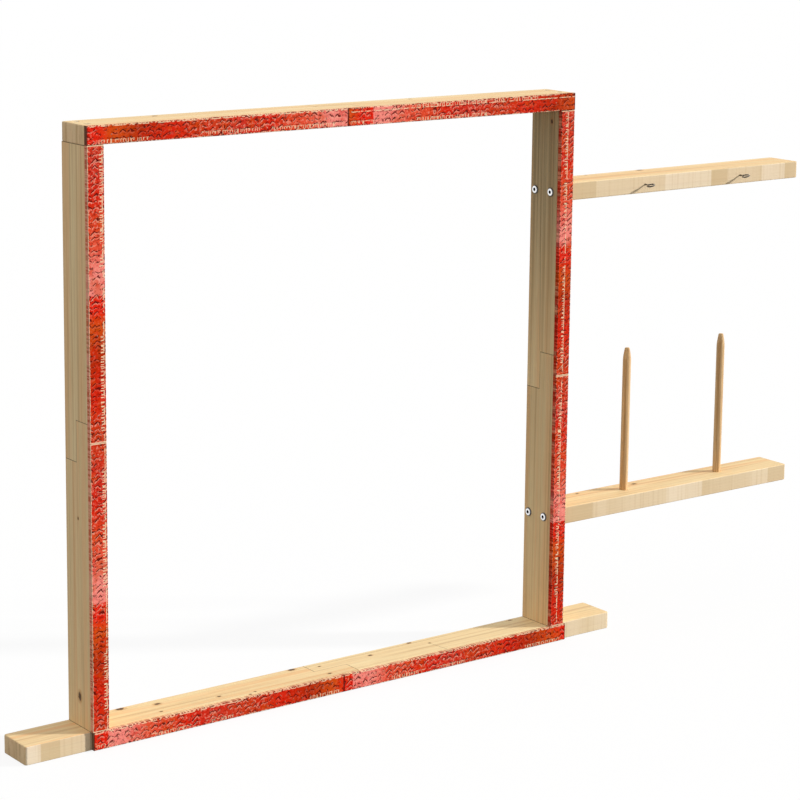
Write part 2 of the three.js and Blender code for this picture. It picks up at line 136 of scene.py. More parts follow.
class Shader:
    """The nodes of one material or world."""

    def __init__(self, owner):
        owner.use_nodes = True
        self.owner = owner
        self.nodes = owner.node_tree.nodes
        self.links = owner.node_tree.links
        self.nodes.clear()
        self.coordinates = self.nodes.new("ShaderNodeTexCoord")

    def node(self, kind, inputs, output=0, **options):
        """What a new node gives. inputs are by the sockets' names or numbers."""
        node = self.nodes.new("ShaderNode" + kind)
        for option, value in options.items():
            setattr(node, option, value)
        for socket, value in inputs.items():
            if isinstance(value, Field):
                self.links.new(value.socket, node.inputs[socket])
            else:
                node.inputs[socket].default_value = value
        return Field(self, node.outputs[output])

    def show(self, surface, output="ShaderNodeOutputMaterial"):
        self.links.new(surface.socket, self.nodes.new(output).inputs[0])
        return self.owner

    def math(self, operation, *values):
        return self.node("Math", dict(enumerate(values)), operation=operation)

    def axes(self, output):
        """The three parts of the object's own position or normal, or of a world's direction."""
        node = self.nodes.new("ShaderNodeSeparateXYZ")
        self.links.new(self.coordinates.outputs[output], node.inputs[0])
        return [Field(self, part) for part in node.outputs]

    def vector(self, x, y, z):
        return self.node("CombineXYZ", {"X": x, "Y": y, "Z": z})

    def noise(self, vector, detail=2, roughness=0.5):
        """Smooth noise from about 0.2 to 0.8, with features about 1 unit of the vector across."""
        inputs = {"Vector": vector, "Scale": 1, "Detail": detail, "Roughness": roughness}
        return self.node("TexNoise", inputs, output="Fac")

    def smooth(self, value, low, high):
        """0 below low and 1 above high, or the other way round, with a soft step between."""
        rising = low < high
        inputs = {
            "Value": value,
            "From Min": min(low, high),
            "From Max": max(low, high),
            "To Min": 0 if rising else 1,
            "To Max": 1 if rising else 0,
        }
        return self.node("MapRange", inputs, output="Result", interpolation_type="SMOOTHSTEP")

    def fraction(self, value):
        return self.math("FRACT", value)

    def length(self, a, b):
        return self.math("SQRT", a * a + b * b)

    def larger(self, a, b):
        return self.math("MAXIMUM", a, b)

    def smaller(self, a, b):
        return self.math("MINIMUM", a, b)

    def line(self, distance, half_width):
        """1 on a line and 0 beside it."""
        return self.smooth(abs(distance), half_width * 1.5, half_width * 0.6)

    def within(self, value, low, high, soft):
        """1 from low to high and 0 outside, with soft edges."""
        return self.smooth(value, low - soft, low) * self.smooth(value, high + soft, high)

    def mix(self, share, a, b):
        inputs = dict(zip(MIX_COLOUR_INPUTS, (share, a, b)))
        return self.node("Mix", inputs, output=MIX_COLOUR_OUTPUT, data_type="RGBA")

    def ramp(self, value, stops):
        """The colour at a place from 0 to 1 on a scale of stops: (place, colour)."""
        node = self.nodes.new("ShaderNodeValToRGB")
        self.links.new(value.socket, node.inputs[0])
        elements = node.color_ramp.elements
        elements.remove(elements[1])
        elements[0].position, elements[0].color = stops[0]
        for position, colour in stops[1:]:
            elements.new(position).color = colour
        return Field(self, node.outputs[0])

    def seen(self):
        """1 for rays from the camera, a mirror or a glass, 0 for the light that falls on things."""
        path = self.nodes.new("ShaderNodeLightPath")
        camera = Field(self, path.outputs["Is Camera Ray"])
        mirror = Field(self, path.outputs["Is Glossy Ray"])
        glass = Field(self, path.outputs["Is Transmission Ray"])
        return self.larger(self.larger(camera, mirror), glass)


class Surface(Shader):
    """A material with a principled shader."""

    def __init__(self, name):
        super().__init__(bpy.data.materials.new(name))

    def finish(self, colour, roughness, height, relief, metallic=0, specular=0.5):
        """The material; height, from 0 to 1, stands out by relief metres."""
        return self.show(self.node("BsdfPrincipled", {
            "Base Color": colour,
            "Roughness": roughness,
            "Metallic": metallic,
            "Specular IOR Level": specular,
            "Normal": self.node("Bump", {"Height": height, "Distance": relief}),
        }))


# Pine

PINE_EARLY = linear(250, 222, 170)
PINE_LATE = linear(230, 184, 126)
PINE_PEACH = linear(249, 201, 145)
PINE_PALE = linear(254, 232, 182)
PINE_BROWN = linear(196, 154, 106)
SAWN_PALE = linear(236, 216, 184)
SAWN_LIGHT = linear(244, 228, 204)
SAWN_MIDDLE = linear(225, 203, 166)
SAWN_DARK = linear(206, 180, 138)
END_GRAIN = linear(248, 214, 168)
END_STREAK = linear(200, 162, 112)
KNOT_CORE = linear(58, 32, 12)
KNOT_RING = linear(186, 122, 58)
SEAM_SHADE = linear(74, 50, 28)
# Painted shade, for the right upright's inner face under the top rail
PAINTED_SHADE_BROWN = linear(104, 88, 62)

RING_WIDTH = 4.2 * MM
RING_UNEVENNESS = 0.03
RING_WANDER = 0.012
RING_DRIFT = 0.004
RING_KNOT_BULGE = 1.2
KNOT_STRETCH = 1.6
KNOT_ROUGHNESS = 1.2
KNOT_CORE_EDGE = (1.15, 0.7)
KNOT_HALO_EDGE = (2.2, 0.9)
CHECK_SLANT = 0.15
SHAKE_SWAY = 0.003
SEAM_HALF_WIDTH = 0.45 * MM

# How strongly each layer shows where it is full
PEACH_SHARE = 0.7
PATCH_SHARE = 0.5
STREAK_SHARE = 0.4
FIBRE_SHARE = 0.16
SAWN_SHARE = 0.85
SAWN_DROP_SHARE = 0.6
SAWN_LINE_SHARE = 0.4
END_SHARE = 0.75
END_BAND_SHARE = 0.75
HALO_SHARE = 0.5
CORE_SHARE = 0.9
SEAM_SHARE = 0.8
CHECK_SHARE = 0.9
GLUE_SHARE = 0.6
SHAKE_SHARE = 0.7


class Board(Surface):
    """The pine of one board, with the places on it: along the board, across its depth and through
    its thickness. axis is 0 for a board along X and 2 for one along Z."""

    def __init__(self, node, axis, seed, heart):
        super().__init__("pine_" + node)
        low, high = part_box(node)
        centre = (low + high) / 2
        through = 2 - axis
        position = self.axes("Object")
        self.normal = self.axes("Normal")
        self.axis = axis
        self.seed = seed
        self.along = position[axis] - CORNER[axis]
        self.across = position[1] - CORNER.y
        self.through = position[through]
        self.heart_across = position[1] - (centre.y + heart[0] * MM)
        self.heart_through = self.through - (centre[through] + heart[1] * MM)
        self.drift = self.grain(5, 30, 1)
        self.fibre = self.grain(26, 900, 1.7)

    def grain(self, stretch, width, start, detail=2):
        """Noise drawn out along the board: features 1 / stretch metres long and 1 / width wide."""
        at = self.vector(
            self.along * stretch + self.seed * start,
            self.across * width,
            self.heart_through * width)
        return self.noise(at, detail)

    def knots(self, places):
        """How far a point lies in a knot's core, and in the halo round it."""
        core, halo = 0.0, 0.0
        ragged = self.grain(210, 260, 1)
        for along, across, size in places:
            reach = size * MM
            distance = self.length(
                (self.along - along * MM) / (KNOT_STRETCH * reach),
                (self.across - across * MM) / reach)
            distance = distance + (ragged - 0.5) * KNOT_ROUGHNESS
            core = self.larger(core, self.smooth(distance, *KNOT_CORE_EDGE))
            halo = self.larger(halo, self.smooth(distance, *KNOT_HALO_EDGE))
        return core, halo

    def late_wood(self, halo):
        """The dark side of the growth rings, which wander along the board and flow round knots."""
        wander = self.noise(
            self.vector(self.along * 1.4 + self.seed * 7.3, self.across * 5, self.seed * 3.1))
        uneven = self.noise(
            self.vector(self.heart_across * 28, self.heart_through * 28, self.seed * 9.1), detail=1)
        radius = self.length(self.heart_across, self.heart_through) + uneven * RING_UNEVENNESS
        rings = (radius + wander * RING_WANDER + self.drift * RING_DRIFT) / RING_WIDTH
        phase = self.fraction(rings + halo * RING_KNOT_BULGE)
        return self.smooth(phase, 0.3, 0.92) * self.smooth(phase, 1.0, 0.93)

    def wood(self, late, pale, painted_shade, ring_share, vein_share):
        """Rings, broad bands of colour, streaks, veins and fibres, the board's own tone, and where
        it is set, painted shade that darkens the board along its length.
        """
        band = self.grain(0.9, 60, 2.7, detail=3)
        patch = self.grain(3, 40, 5, detail=3)
        streak = self.grain(1.6, 150, 4.1)
        vein = self.grain(1.1, 230, 6.3)
        cluster = self.grain(0.8, 70, 3.3, detail=1)
        veined = self.smooth(vein, 0.54, 0.66) * self.smooth(cluster, 0.45, 0.6)
        layers = [
            (self.smooth(band, 0.42, 0.6) * (PEACH_SHARE - pale), PINE_PEACH),
            (self.smooth(patch, 0.5, 0.66) * PATCH_SHARE + pale, PINE_PALE),
            (self.smooth(streak, 0.52, 0.7) * STREAK_SHARE, PINE_BROWN),
            (veined * vein_share, PINE_BROWN),
            (self.smooth(self.fibre, 0.42, 0.68) * FIBRE_SHARE, PINE_BROWN),
        ]
        colour = self.mix(late * ring_share, PINE_EARLY, PINE_LATE)
        for share, tone in layers:
            colour = self.mix(share, colour, tone)
        # Painted shade: the board darkens along its length, broken up by its streaks and veins
        if painted_shade:
            start, full, most = painted_shade
            share = self.smooth(self.along, start * MM, full * MM) * most
            uneven = self.smooth(streak + vein, 0.8, 1.2) * 0.2 + 0.56
            colour = self.mix(share * uneven, colour, PAINTED_SHADE_BROWN)
        return colour

    def sawn_face(self, colour, stretch, blocks):
        """The narrow front face, cut across: soft upright bands and a few fine lines."""
        start, stop, drop = stretch
        change = self.noise(self.vector(self.along * 14 + self.seed * 1.9, 0.5, self.seed))
        lines = self.noise(self.vector(self.along * 170, self.through * 4, self.seed))
        marks = self.mix(self.smooth(change, 0.36, 0.6), SAWN_MIDDLE, SAWN_PALE)
        dropped = self.smooth(self.along, (drop - 1) * MM, drop * MM)
        marks = self.mix(dropped * SAWN_DROP_SHARE, marks, SAWN_DARK)
        for first, last, share, tone in blocks:
            block = self.within(self.along, first * MM, last * MM, 2 * MM)
            marks = self.mix(block * share, marks, tone)
        marks = self.mix(self.smooth(lines, 0.48, 0.7) * SAWN_LINE_SHARE, marks, SAWN_DARK)
        facing = self.smooth(self.normal[1] * -1, 0.7, 0.9)
        cut = self.within(self.along, start * MM, stop * MM, 1 * MM)
        return self.mix(facing * cut * SAWN_SHARE, colour, marks)

    def end_grain(self, colour):
        """The board's ends, which are darker and banded."""
        facing = self.smooth(abs(self.normal[self.axis]), 0.7, 0.95)
        bands = self.noise(self.vector(self.across * 130, self.through * 14, self.seed), detail=3)
        share = self.smooth(bands, 0.45, 0.68) * END_BAND_SHARE
        marks = self.mix(share, END_GRAIN, END_STREAK)
        return self.mix(facing * END_SHARE, colour, marks)

    def dark_line(self, distance, at, low, high, soft, share):
        """A thin dark line where distance is 0, and at lies from low to high."""
        inside = self.within(at, low * MM, high * MM, soft * MM)
        return self.line(distance, SEAM_HALF_WIDTH) * inside * share

    def dark_lines(self, seams, checks, glue, shake):
        """How dark the seams, checks, glue line and shake make a point."""
        lines = []
        for along, low, high in seams:
            gap = self.along - along * MM
            lines.append(self.dark_line(gap, self.across, low, high, 0.5, 1))
        for along, low, high in checks:
            gap = self.along - along * MM + (self.across - low * MM) * CHECK_SLANT
            lines.append(self.dark_line(gap, self.across, low, high, 3, CHECK_SHARE))
        if glue:
            low, high = glue
            gap = self.across - HALF_DEPTH * MM
            lines.append(self.dark_line(gap, self.along, low, high, 0.5, GLUE_SHARE))
        if shake:
            low, high, start, end = shake
            lean = (end - start) / (high - low)
            gap = self.across - start * MM - (self.along - low * MM) * lean
            gap = gap + (self.drift - 0.5) * SHAKE_SWAY
            lines.append(self.dark_line(gap, self.along, low, high, 8, SHAKE_SHARE))
        shade = 0.0
        for line in lines:
            shade = self.larger(shade, line)
        return shade


def pine(node, axis, seed, heart, knots=(), seams=(), checks=(), glue=None, shake=None,
         sawn=None, blocks=(), pale=0.0, painted_shade=None, ring_share=0.5, vein_share=0.3):
    """Solid pine. heart is how far the tree's centre lies off the board's own centre, across its
    depth and through its thickness. knots are (along, across, size) and seams and checks (along,
    from, to), in millimetres from the corner. glue is the stretch where the two tongues of a
    half-lap meet, and shake is a hairline along the grain: (from, to, across at its start, across
    at its end). sawn is the stretch of the front face that was cut across, and where its tone
    drops, and blocks are stretches of it with a tone of their own: (from, to, share, colour). pale
    lightens the board, and the setting after it darkens the board along its length with painted
    shade: (along where it starts, along where it is full, share). ring_share and vein_share are how
    dark the rings and the grain's fine lines are."""
    board = Board(node, axis, seed, heart)
    core, halo = board.knots(knots)
    late = board.late_wood(halo)
    colour = board.wood(late, pale, painted_shade, ring_share, vein_share)
    if sawn:
        colour = board.sawn_face(colour, sawn, blocks)
    colour = board.end_grain(colour)
    colour = board.mix(halo * HALO_SHARE, colour, KNOT_RING)
    colour = board.mix(core * CORE_SHARE, colour, KNOT_CORE)
    shade = board.dark_lines(seams, checks, glue, shake)
    colour = board.mix(shade * SEAM_SHARE, colour, SEAM_SHADE)
    return board.finish(
        colour, 0.56 + board.fibre * 0.14, late * 0.5 + board.fibre, 0.1 * MM, specular=0.22)


# The half-laps' shoulders, in millimetres along the board
RAIL_SHOULDERS = (421.2, 483.2)
UPRIGHT_SHOULDERS = (428.2, 490.2)

# A seam is drawn to just past the board's front and back faces
SEAM_FRONT = -1
SEAM_BACK = BOARD_DEPTH + 1


def lap_seams(shoulders):
    """The front tongue ends at the second shoulder and the back one at the first."""
    first, second = shoulders
    return [(first, HALF_DEPTH, SEAM_BACK), (second, SEAM_FRONT, HALF_DEPTH)]


def butt_joint(along):
    return (along, SEAM_FRONT, SEAM_BACK)


RAIL = dict(axis=0, glue=RAIL_SHOULDERS)
UPRIGHT = dict(axis=2, glue=UPRIGHT_SHOULDERS, ring_share=0.25, vein_share=0.4)
RAIL_SEAMS = lap_seams(RAIL_SHOULDERS)
UPRIGHT_SEAMS = lap_seams(UPRIGHT_SHOULDERS)

BOARDS = {
    "base_rail_left": dict(
        RAIL, seed=1, heart=(6, -34), seams=RAIL_SEAMS + [butt_joint(0)], sawn=(-112, 1, -82),
        blocks=[(-112, -84, 0.9, SAWN_LIGHT), (-50, 1, 0.6, SAWN_PALE)],
        knots=[(85, 60, 4), (142, 47, 3.2), (130, 16, 1.6), (236, 22, 2), (281, 3, 1.6),
               (294, 9, 1.4), (397, 61, 3.6), (436, 12, 2)],
    ),
    "base_rail_right": dict(
        RAIL, seed=2, heart=(-9, -38), pale=0.45, sawn=(902, 1100, 1100),
        seams=RAIL_SEAMS + [butt_joint(INNER_FACE), butt_joint(FRAME_WIDTH)],
        checks=[(661, 4, 40)],
        knots=[(442, 49, 1.6), (540, 47, 2.4), (628, 61, 2.4), (656, 42, 1.4), (840, 60, 2)],
    ),
    "top_rail_left": dict(
        RAIL, seed=3, heart=(12, -32), seams=RAIL_SEAMS, pale=0.1, knots=[(147, 53, 3)],
    ),
    "top_rail_right": dict(
        RAIL, seed=4, heart=(-8, -40), seams=RAIL_SEAMS, pale=0.1, knots=[(610, 52, 2)],
    ),
    "left_upright_lower": dict(
        UPRIGHT, seed=5, heart=(-20, 46), seams=UPRIGHT_SEAMS + [butt_joint(BOARD_THICKNESS)],
        knots=[(74, 31, 4.2), (345, 30, 1.6)],
    ),
    "left_upright_upper": dict(
        UPRIGHT, seed=6, heart=(26, 44), seams=UPRIGHT_SEAMS + [butt_joint(TOP_RAIL_UNDERSIDE)],
    ),
    # The right upright's inner face darkens towards the top rail with painted shade, on both boards
    "right_upright_lower": dict(
        UPRIGHT, seed=7, heart=(24, -42), seams=UPRIGHT_SEAMS + [butt_joint(BOARD_THICKNESS)],
        painted_shade=(60, 460, 0.25),
    ),
    "right_upright_upper": dict(
        UPRIGHT, seed=8, heart=(-18, -40), seams=UPRIGHT_SEAMS + [butt_joint(TOP_RAIL_UNDERSIDE)],
        painted_shade=(360, 880, 0.95), knots=[(873, 16, 2.4)], shake=(496, 890, 34, 44),
    ),
    "yarn_guide_arm": dict(
        axis=0, seed=9, heart=(-4, -36), sawn=(900, 1426, 1390), vein_share=0.15,
        blocks=[(900, 955, 0.8, SAWN_DARK), (955, 1110, 0.3, SAWN_DARK),
                (1110, 1216, 0.6, SAWN_LIGHT), (1216, 1252, 0.8, SAWN_DARK),
                (1252, 1336, 0.3, SAWN_DARK), (1336, 1390, 0.55, SAWN_LIGHT)],
        knots=[(985, 60, 1.6), (1105, 60, 3.6)],
    ),
    "cone_arm": dict(
        axis=0, seed=10, heart=(8, -33), sawn=(900, 1426, 1378), vein_share=0.2,
        blocks=[(900, 965, 0.75, SAWN_DARK), (965, 1135, 0.2, SAWN_DARK),
                (1135, 1218, 0.55, SAWN_LIGHT), (1218, 1290, 0.45, SAWN_DARK),
                (1290, 1334, 0.3, SAWN_DARK)],
        knots=[(979, 56, 2), (1103, 50, 3)],
    ),
}

for node, settings in BOARDS.items():
    paint(node, pine(node, **settings))


# Gripper strips

PRINT_PINK = linear(250, 138, 126)
PRINT_ROSE = linear(234, 84, 56)
PRINT_BRICK = linear(226, 68, 34)
PRINT_RED = linear(220, 34, 6)
PRINT_WINE = linear(212, 52, 34)
PRINT_RUST = linear(208, 58, 16)
PRINT_DEEP = linear(184, 44, 2)
PRINT_ORANGE = linear(214, 78, 12)
PRINT_BRIGHT = linear(234, 36, 12)
PRINT_LINE = linear(92, 8, 4)
PRINT_SHINE = linear(254, 176, 152)
PRINT_CREAM = linear(254, 226, 186)
LATH_PALE = linear(252, 226, 180)
LATH_DARK = linear(234, 190, 142)
# Painted shade on the ends of the strips' laths
LATH_END_PAINTED_SHADE = linear(84, 48, 38)
PIN_ZINC = linear(172, 128, 108)

# The print's colours along one run, from the place where it starts afresh to the next such place
PRINT_RUN = 453 * MM
PRINT_FADE = [
    (0.0, PRINT_PINK), (0.07, PRINT_PINK), (0.15, PRINT_ROSE), (0.24, PRINT_BRICK),
    (0.31, PRINT_RED), (0.42, PRINT_WINE), (0.55, PRINT_RUST), (0.68, PRINT_RED),
    (0.8, PRINT_DEEP), (0.9, PRINT_ORANGE), (0.95, PRINT_BRIGHT), (1.0, PRINT_BRIGHT),
]

# Where along a run the print is calm, and how softly
PRINT_CALM = (0.66, 0.92, 0.08)
BLOTCH_SHARE = 0.5
DARK_FLECK_SHARE = 0.6
STROKE_SHARE = 0.9
STROKE_PITCH = 15 * MM
STROKE_ROW = 8.4 * MM
STROKE_RISE = 4.8 * MM
STROKE_SLOPE = 0.12
TICK_PITCH = 4.6 * MM
TICK_FOOT = 2
TICK_FOOT_SHARE = 0.7
RULE_HALF_WIDTH = 0.6 * MM
RULE_SHARE = 0.85
RIM_INSET = 0.6 * MM
RIM_HALF_WIDTH = 0.7 * MM
RIM_SHARE = 0.7
CREAM_SHARE = 0.9
END_LINE_HALF_WIDTH = 1.3 * MM
END_LINE_SHARE = 0.8

STRIP_FRONT = -7 * MM
STRIP_WIDTH = 27.5 * MM
STRIP_SEED_STEP = 3.7
PLY_PITCH = 2.3 * MM
PIN_START = (STRIP_FRONT - 0.06 * MM, STRIP_FRONT - 0.12 * MM)


class Strip(Surface):
    """The plywood lath of one gripper strip, with its printed front and zinc pins. x, z and along
    are measured from the corner, and across from the strip's own left or lower edge."""

    def __init__(self, node, axis):
        super().__init__("print_" + node)
        self.low, self.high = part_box(node)
        self.normal = self.axes("Normal")
        position = self.axes("Object")
        self.axis = axis
        self.seed = list(STRIPS).index(node) * STRIP_SEED_STEP
        self.x = position[0] - CORNER.x
        self.y = position[1]
        self.z = position[2] - CORNER.z
        self.along = position[axis] - CORNER[axis]
        self.across = position[2 - axis] - self.low[2 - axis]
        self.worn = self.lengthwise(190, 8.8)
        self.sway = (self.worn - 0.5) * 0.003
        self.dash = self.smooth(self.lengthwise(420, 3.3, detail=1), 0.46, 0.54)

    def lengthwise(self, scale, layer, detail=2):
        """Noise that changes along the strip alone, with features 1 / scale metres long."""
        return self.noise(self.vector(self.along * scale, layer, self.seed), detail)

    def over_face(self, scale, layer, detail=3, roughness=0.5):
        """Noise over the front face, with features 1 / scale metres across."""
        return self.noise(self.vector(self.x * scale, layer, self.z * scale), detail, roughness)

    def print_run(self, start, way):
        """The print's fading colour with its blotches, and how calm the print is there."""
        wobble = self.over_face(90, 0.3)
        run = (self.along - start * MM) * (way / PRINT_RUN)
        phase = self.fraction(run + 1 + (wobble - 0.5) * 0.006)
        blotch = self.noise(self.vector(self.x * 45 + 3, 1.7, self.z * 45), 3, 0.6)
        warmth = self.noise(self.vector(self.x * 38, 9.2, self.z * 38 + 5), 3, 0.6)
        colour = self.ramp(phase, PRINT_FADE)
        colour = self.mix(self.smooth(blotch, 0.52, 0.62) * BLOTCH_SHARE, colour, PRINT_RED)
        colour = self.mix(self.smooth(warmth, 0.54, 0.66) * BLOTCH_SHARE, colour, PRINT_ORANGE)
        return colour, self.within(phase, *PRINT_CALM)

    def flecks(self, colour, calm):
        """The print's grain of light and dark flecks."""
        fleck = self.over_face(210, 4.1, roughness=0.7)
        light = self.smooth(fleck, 0.54, 0.66) * (0.5 - calm * 0.38)
        colour = self.mix(light, colour, PRINT_SHINE)
        return self.mix(self.smooth(fleck, 0.46, 0.34) * DARK_FLECK_SHARE, colour, PRINT_LINE)

    def strokes(self, colour, calm):
        """Rows of peaked strokes, broken and uneven, with a painted highlight beside each dark one
        that makes them look embossed, and how much of the dark ink lies at a point."""
        stray = self.over_face(50, 2.2, detail=2)
        shiver = self.over_face(330, 7.1, detail=2) - 0.5
        beside = abs(self.fraction(self.x / STROKE_PITCH + stray * 1.3) - 0.5)
        level = self.z + beside * (2 * STROKE_RISE) - self.x * STROKE_SLOPE
        level = (level + stray * 0.014 + shiver * 0.004) / STROKE_ROW
        missing = self.noise(self.vector(self.x * 85, 6.4, self.z * 120))
        drawn = self.smooth(missing, 0.43, 0.5) * self.smooth(beside, 0.47, 0.36)
        dark_reach = abs(self.fraction(level) - 0.5) * STROKE_ROW
        highlight_reach = abs(self.fraction(level + 0.24) - 0.5) * STROKE_ROW
        ink = self.smooth(dark_reach, 1.5 * MM, 0.6 * MM) * drawn
        # Painted highlight: a light line along each stroke, beside its dark ink
        light = self.smooth(highlight_reach, 1.5 * MM, 0.5 * MM) * drawn
        colour = self.mix(light * (0.5 - calm * 0.4), colour, PRINT_SHINE)
        return self.mix(ink * STROKE_SHARE, colour, PRINT_LINE), ink

    def ticks(self, rows, share):
        """Worn rows of plain ticks, each with a broken light line along its foot."""
        uneven = self.lengthwise(50, 2.9, detail=1)
        bar = self.fraction(self.along / TICK_PITCH + uneven * 5 + self.worn * 0.6)
        bar = self.smooth(abs(bar - 0.5) * TICK_PITCH, 1.0 * MM, 0.5 * MM)
        bar = bar * self.smooth(uneven, 0.36, 0.44)
        cream = 0.0
        for centre, first, last in rows:
            reach = abs(self.across - centre * MM) + (self.worn - 0.5) * 0.008
            stretch = self.within(self.along, first * MM, last * MM, 3 * MM)
            marks = self.smooth(reach, 2.5 * MM, 1.5 * MM) * bar * stretch
            cream = self.larger(cream, marks * share)
            foot = self.line(self.across - (centre + TICK_FOOT) * MM, 0.5 * MM) * stretch
            broken = foot * self.smooth(self.worn, 0.47, 0.55)
            cream = self.larger(cream, broken * TICK_FOOT_SHARE)
        return cream

    def wear(self, colour, cream, rule, near_light):
        """The ticks' cream, a light line, and light and dark dashes along both edges."""
        kept = self.smooth(self.worn, 0.42, 0.5)
        light_line = self.line(self.across - rule * MM + self.sway, RULE_HALF_WIDTH)
        near_rim = self.line(self.across - RIM_INSET + self.sway, RIM_HALF_WIDTH)
        far_rim = self.line(self.across - STRIP_WIDTH + RIM_INSET + self.sway, RIM_HALF_WIDTH)
        cream = self.larger(cream, light_line * kept * RULE_SHARE)
        cream = self.larger(cream, near_rim * near_light)
        cream = self.larger(cream, far_rim * self.dash * RIM_SHARE)
        rim = self.larger(near_rim, far_rim)
        colour = self.mix(rim * (1 - self.dash) * RIM_SHARE, colour, PRINT_LINE)
        return self.mix(cream * CREAM_SHARE, colour, PRINT_CREAM)

    def ends(self, colour, tone):
        """A line across the front at each end of the strip."""
        low, high = [
            self.line(self.along - (end - CORNER)[self.axis], END_LINE_HALF_WIDTH)
            for end in (self.low, self.high)]
        return self.mix(self.larger(low, high) * END_LINE_SHARE, colour, tone)

    def side_wood(self, stain, grain, side, painted_end_shade):
        """The lath's sides, which have taken some of the print, and its ends, darkened with painted
        shade.
        """
        print_share, dark_share, light_share, light_tone = side
        layer = self.fraction((self.y - CORNER.y) / PLY_PITCH)
        stained = self.lengthwise(60, 7.7, detail=3)
        wood = self.mix(self.smooth(layer, 0.4, 0.5) * 0.5, LATH_PALE, LATH_DARK)
        wood = self.mix(grain * 0.3, wood, LATH_DARK)
        wood = self.mix(self.smooth(stained, 0.4, 0.5) * 0.35 + print_share, wood, stain)
        wood = self.mix((1 - self.dash) * dark_share, wood, PRINT_LINE)
        wood = self.mix(self.dash * light_share, wood, light_tone)
        # Painted shade on the lath's ends
        facing = self.smooth(abs(self.normal[self.axis]), 0.7, 0.9)
        return self.mix(facing * painted_end_shade, wood, LATH_END_PAINTED_SHADE)


def gripper(node, axis, start, way, rule, ticks, side, left_edge_light=0.0):
    """A gripper strip. start is where the print starts afresh, in millimetres from the corner, way
    is 1 or -1 along the strip, and rule is how far across the strip its light line runs. ticks are
    the rows of ticks, each as (across, from, to). side is how much print, dark dashes and light
    dashes its sides carry, with the light dashes' colour: on the left strips the light dashes are
    painted light, and on the right strips the print and dark dashes are partly painted shade. The
    last setting is how much painted light lies along the left edge."""
    strip = Strip(node, axis)
    on_rail = axis == 0
    tick_share = 0.7 if on_rail else 0.95
    # On the left strips painted light runs all along the near rim
    near_light = strip.dash * RIM_SHARE if on_rail else strip.dash * 0.15 + left_edge_light

    stain, calm = strip.print_run(start, way)
    colour = strip.flecks(stain, calm)
    colour, ink = strip.strokes(colour, calm)
    colour = strip.wear(colour, strip.ticks(ticks, tick_share), rule, near_light)

    # A strip on a rail is dark where it meets the next one, and a strip on an upright is light
    colour = strip.ends(colour, PRINT_LINE if on_rail else PRINT_CREAM)

    along, depth, across = strip.along * 40, strip.y * 900, strip.across * 500
    grain = strip.noise(strip.vector(along, depth, across))
    # The rail strips' ends get strong painted shade, the upright strips' ends a little
    wood = strip.side_wood(stain, grain, side, 0.85 if on_rail else 0.1)
    printed = strip.smooth(strip.normal[1] * -1, 0.5, 0.7)
    colour = strip.mix(printed, wood, colour)
    pin = strip.smooth(strip.y - CORNER.y, *PIN_START)
    colour = strip.mix(pin, colour, PIN_ZINC)
    return strip.finish(
        colour, 0.62 + grain * 0.2 - pin * 0.2, 1 - ink * (1 - pin) * printed, 0.15 * MM,
        metallic=pin * 0.7, specular=0.04)


# Strip sides: the left strips' pale sides and light left edge are painted light, and the right
# strips' darker sides carry painted shade as well as print
RAIL_STRIP = dict(axis=0, side=(0.1, 0.3, 0.3, LATH_PALE))
LEFT_STRIP = dict(axis=2, way=1, side=(0.4, 0.12, 0.7, PRINT_SHINE), left_edge_light=0.6)
RIGHT_STRIP = dict(axis=2, way=1, side=(0.65, 0.4, 0.1, PRINT_SHINE))

STRIPS = {
    "gripper_strip_top_left": dict(
        RAIL_STRIP, start=450, way=-1, rule=26,
        ticks=[(4, 16, 100), (5.5, 190, 290), (5, 305, 425)],
    ),
    "gripper_strip_top_right": dict(
        RAIL_STRIP, start=497, way=1, rule=21.5,
        ticks=[(5, 456, 496), (3.5, 580, 720), (23.5, 580, 820)],
    ),
    "gripper_strip_base_left": dict(
        RAIL_STRIP, start=25, way=1, rule=25.5,
        ticks=[(5, 6, 24), (3.5, 100, 168), (3.5, 205, 242), (3.5, 385, 440)],
    ),
    "gripper_strip_base_right": dict(
        RAIL_STRIP, start=467, way=1, rule=26,
        ticks=[(4, 545, 612), (3.5, 636, 690), (3.5, 820, 890)],
    ),
    "gripper_strip_left_lower": dict(
        LEFT_STRIP, start=224, rule=24.5, ticks=[(21.5, 60, 150), (21.5, 250, 420)],
    ),
    "gripper_strip_left_upper": dict(
        LEFT_STRIP, start=677, rule=24.5, ticks=[(21.5, 480, 640), (21.5, 720, 880)],
    ),
    "gripper_strip_right_lower": dict(
        RIGHT_STRIP, start=208, rule=13, ticks=[(10, 60, 200), (10, 260, 420)],
    ),
    "gripper_strip_right_upper": dict(
        RIGHT_STRIP, start=671, rule=14, ticks=[(11.5, 470, 640), (11.5, 700, 885)],
    ),
}

for node, settings in STRIPS.items():
    paint(node, gripper(node, **settings))


# Dowel and metals

# Where the arm bolts stand: up the right upright, and across its depth
ARM_HEIGHTS = {"upper": GUIDE_ARM_HEIGHT, "lower": CONE_ARM_HEIGHT}
BOLT_ROWS = {"front": 15, "back": 54}

DOWEL_PALE = linear(232, 196, 146)
DOWEL_BROWN = linear(196, 152, 100)
DOWEL_FIBRE = linear(166, 120, 70)
BOLT_SHADE = linear(30, 27, 27)
# Painted shade for the underside of the screw eyes' wire
WIRE_UNDERSIDE_SHADE = linear(30, 22, 15)

# Where painted shade darkens a bolt's head: out from its axis and out from the board, each as
# (from, to)
SOCKET_WALL = (3.15 * MM, 3.0 * MM)
SOCKET_MOUTH = (2.44 * MM, 2.3 * MM)
HEAD_RIM = (5.5 * MM, 5.9 * MM)


